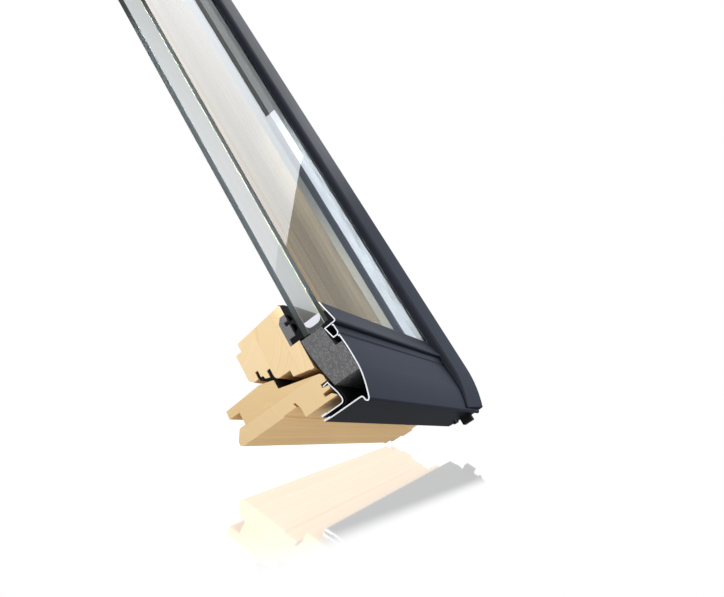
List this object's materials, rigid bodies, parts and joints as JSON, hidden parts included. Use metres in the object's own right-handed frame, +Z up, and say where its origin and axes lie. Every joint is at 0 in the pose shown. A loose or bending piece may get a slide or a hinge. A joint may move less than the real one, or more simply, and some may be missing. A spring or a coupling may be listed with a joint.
{
  "type": "roof skylight",
  "caption": "Half of a centre-pivot timber roof window with double glazing and dark aluminium cladding, cut on its centre line to show its section.",
  "frame": {"origin": "middle of the flat underside of the frame's bottom rail, where the frame stands on its bracket", "axes": "+X from the cut plane to the jamb, +Z up, -Y towards the sky; the window plane rises towards +Y at 58.5 degrees"},
  "size_m": [0.3402, 0.8394, 1.2468],
  "materials": {
    "pine": "clear lacquered laminated pine",
    "cladding": "satin dark grey paint on aluminium",
    "glass": "clear float glass",
    "rubber": "matt black rubber",
    "spacer": "bright aluminium",
    "sealant": "dark grey sealant",
    "carrier": "grey speckled plastic",
    "insulation": "grey expanded bead foam",
    "steel": "zinc plated steel",
    "bar": "satin anodised aluminium",
    "filter": "white filter fleece"
  },
  "bodies": {
    "frame": {"frame_bottom_rail": "pine", "frame_side_jamb": "pine", "frame_head_rail": "pine", "frame_bottom_cover": "cladding", "jamb_flashing": "cladding", "frame_side_cover": "cladding", "frame_top_cover": "cladding", "top_cover_end": "cladding", "top_cover_brackets": "rubber", "upper_side_stop": "cladding", "upper_stop_gasket": "rubber", "head_gasket": "rubber", "hinge_frame_plate": "steel", "frame_plate_screws": "steel", "bolt_bush": "rubber", "strike_plate": "steel"},
    "sash": {"sash_bottom_rail": "pine", "sash_side_stile": "pine", "sash_top_rail": "pine", "inner_pane": "glass", "outer_pane": "glass", "glass_spacer": "spacer", "glass_edge_seal": "sealant", "gasket_carrier": "carrier", "glazing_gasket": "rubber", "insulation_block": "insulation", "drip_liner": "rubber", "draught_seal": "rubber", "sash_bottom_cover": "cladding", "bottom_cover_screw": "steel", "cover_end_plug": "rubber", "glazing_cap": "cladding", "cap_end": "rubber", "cap_seal": "rubber", "sash_side_cover": "cladding", "side_cover_foot": "cladding", "side_cover_head": "rubber", "side_glazing_cap": "cladding", "top_glazing_cap": "cladding", "lower_side_stop": "pine", "side_stop_gasket": "rubber", "hinge_sash_plate": "steel", "pivot_pin": "steel", "sash_plate_screws": "steel", "lock_case": "steel", "bolt_housing": "steel", "bar_bearings": "rubber", "air_filter": "filter"},
    "flap": {"vent_flap": "bar", "control_bar": "bar", "bar_brackets": "rubber"},
    "bolt": {"barrel_bolt": "steel", "bolt_knob": "steel"}
  },
  "joints": [
    {"name": "sash_pivot", "type": "hinge", "parent": "frame", "child": "sash", "pos_m": [0.14, 0.34318, 0.66146], "axis": [-1, 0, 0], "range_deg": [0, 115]},
    {"name": "flap_hinge", "type": "hinge", "parent": "sash", "child": "flap", "pos_m": [-0.065, 0.69135, 1.13679], "axis": [1, 0, 0], "range_deg": [0, 45]},
    {"name": "bolt_slide", "type": "slide", "parent": "sash", "child": "bolt", "axis": [1, 0, 0], "range_m": [0, 0.011]}
  ]
}
